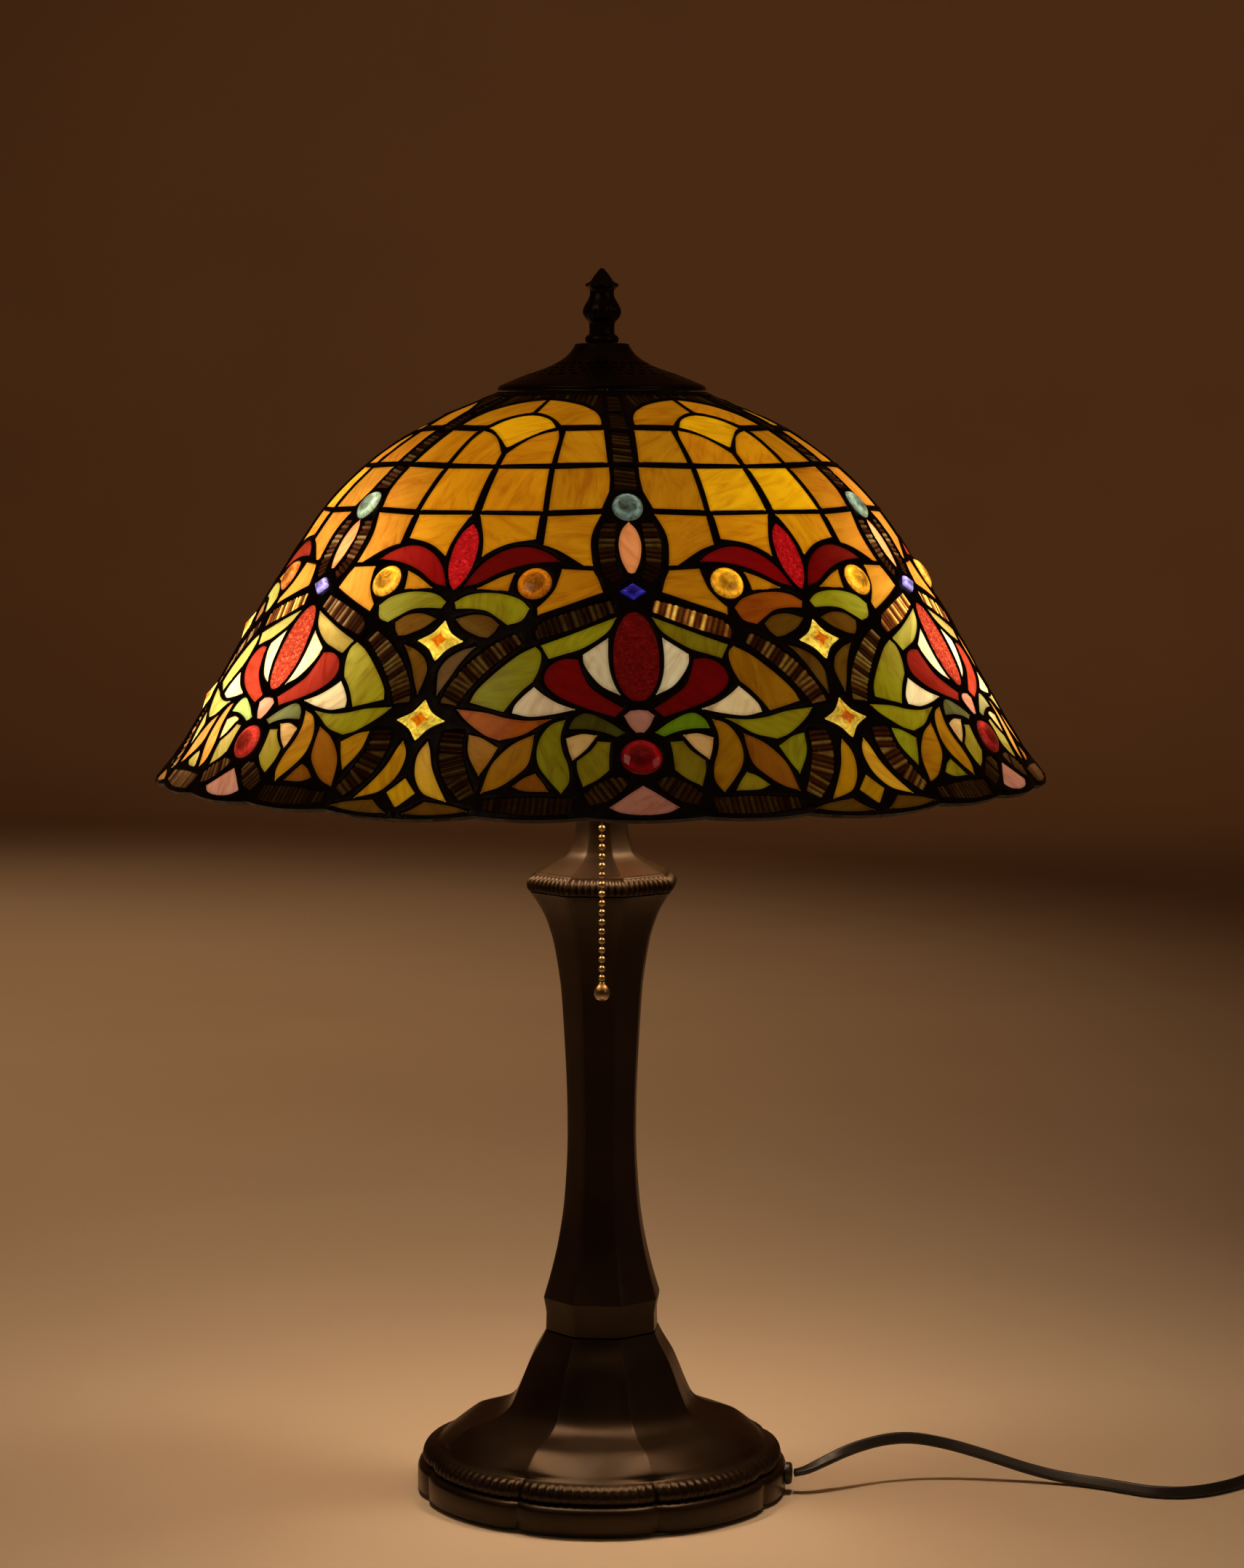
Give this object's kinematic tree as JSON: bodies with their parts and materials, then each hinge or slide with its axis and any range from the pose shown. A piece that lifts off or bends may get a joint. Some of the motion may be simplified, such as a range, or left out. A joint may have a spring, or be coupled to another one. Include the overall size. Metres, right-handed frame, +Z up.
{
  "type": "stained glass table lamp",
  "caption": "Leaded art-glass dome table lamp on a dark bronze octagonal column and lobed foot, with lamp holders, pull chain, finial and a coiled mains lead.",
  "frame": {"origin": "centre of the felt pad's underside, on the surface the lamp stands on", "axes": "+Z up along the column and through the finial, -Y the front where the pull chain hangs, +X the side the mains lead leaves"},
  "size_m": [0.6025, 0.413, 0.574],
  "materials": {
    "bronze": "satin dark bronze paint on cast zinc",
    "leading": "dark patinated solder over copper foil",
    "amber_glass": "streaky amber art glass",
    "flower_glass": "mixed red, green, white and olive art glass with ripple and jewels",
    "brass": "plain",
    "steel": "zinc plated",
    "socket_shell": "antique brass",
    "iron": "rough",
    "felt": "felt",
    "bulb_glass": "opal",
    "nickel": "nickel plated",
    "black_plastic": "moulded black",
    "lead_rubber": "black flat twin flex"
  },
  "bodies": {
    "stand": {"base_casting": "bronze", "column": "bronze", "neck": "bronze", "riser_tube": "bronze", "cluster_cup": "bronze", "cluster_cover": "bronze", "pull_switch": "bronze", "upper_rod": "brass", "centre_contact_left": "brass", "centre_contact_right": "brass", "cap_seat_washer": "steel", "cap_nut": "steel", "weight_washer": "steel", "rod_nut": "steel", "centre_rod": "steel", "cluster_nut": "steel", "nipple_left": "steel", "nipple_right": "steel", "socket_cap_left": "socket_shell", "socket_cap_right": "socket_shell", "socket_shell_left": "socket_shell", "socket_shell_right": "socket_shell", "base_weight": "iron", "felt_pad": "felt", "plug_blade_a": "nickel", "plug_blade_b": "nickel", "cord_bushing": "black_plastic", "plug_body": "black_plastic", "power_cord": "lead_rubber", "cord_tail": "lead_rubber", "cord_coil": "lead_rubber", "inner_lead": "lead_rubber"},
    "finial": {"finial": "bronze"},
    "shade": {"shade_leading": "leading", "vase_cap": "bronze", "crown_ring": "brass", "spider_plate": "brass", "window_glass_1": "amber_glass", "window_glass_2": "amber_glass", "window_glass_3": "amber_glass", "window_glass_4": "amber_glass", "window_glass_5": "amber_glass", "window_glass_6": "amber_glass", "flower_glass_1": "flower_glass", "flower_glass_2": "flower_glass", "flower_glass_3": "flower_glass", "flower_glass_4": "flower_glass", "flower_glass_5": "flower_glass", "flower_glass_6": "flower_glass"},
    "bulb_left": {"bulb_glass_left": "bulb_glass", "bulb_base_left": "nickel"},
    "bulb_right": {"bulb_glass_right": "bulb_glass", "bulb_base_right": "nickel"},
    "switch_stem": {"switch_stem": "brass"},
    "chain_swivel": {"chain_swivel": "brass"},
    "chain": {"pull_chain": "brass", "chain_knob": "brass"}
  },
  "joints": [
    {"name": "shade_turn", "type": "hinge", "parent": "stand", "child": "shade", "pos_m": [0, 0, 0.45], "axis": [0, 0, 1], "continuous": true},
    {"name": "finial_turn", "type": "hinge", "parent": "stand", "child": "finial", "pos_m": [0, 0, 0.555], "axis": [0, 0, 1], "continuous": true},
    {"name": "bulb_left_turn", "type": "hinge", "parent": "stand", "child": "bulb_left", "pos_m": [0, 0, 0.396], "axis": [-0.9659, 0, 0.2588], "continuous": true},
    {"name": "bulb_right_turn", "type": "hinge", "parent": "stand", "child": "bulb_right", "pos_m": [0, 0, 0.396], "axis": [0.9659, 0, 0.2588], "continuous": true},
    {"name": "switch_pull", "type": "slide", "parent": "stand", "child": "switch_stem", "axis": [0, 0, -1], "range_m": [0, 0.008], "stiffness_N_per_m": 250, "springref_m": -0.004},
    {"name": "chain_swing_side", "type": "hinge", "parent": "switch_stem", "child": "chain_swivel", "pos_m": [0, -0.045, 0.3835], "axis": [0, 1, 0], "range_deg": [-20, 20]},
    {"name": "chain_swing_fore", "type": "hinge", "parent": "chain_swivel", "child": "chain", "pos_m": [0, -0.045, 0.3835], "axis": [1, 0, 0], "range_deg": [-20, 3]}
  ]
}
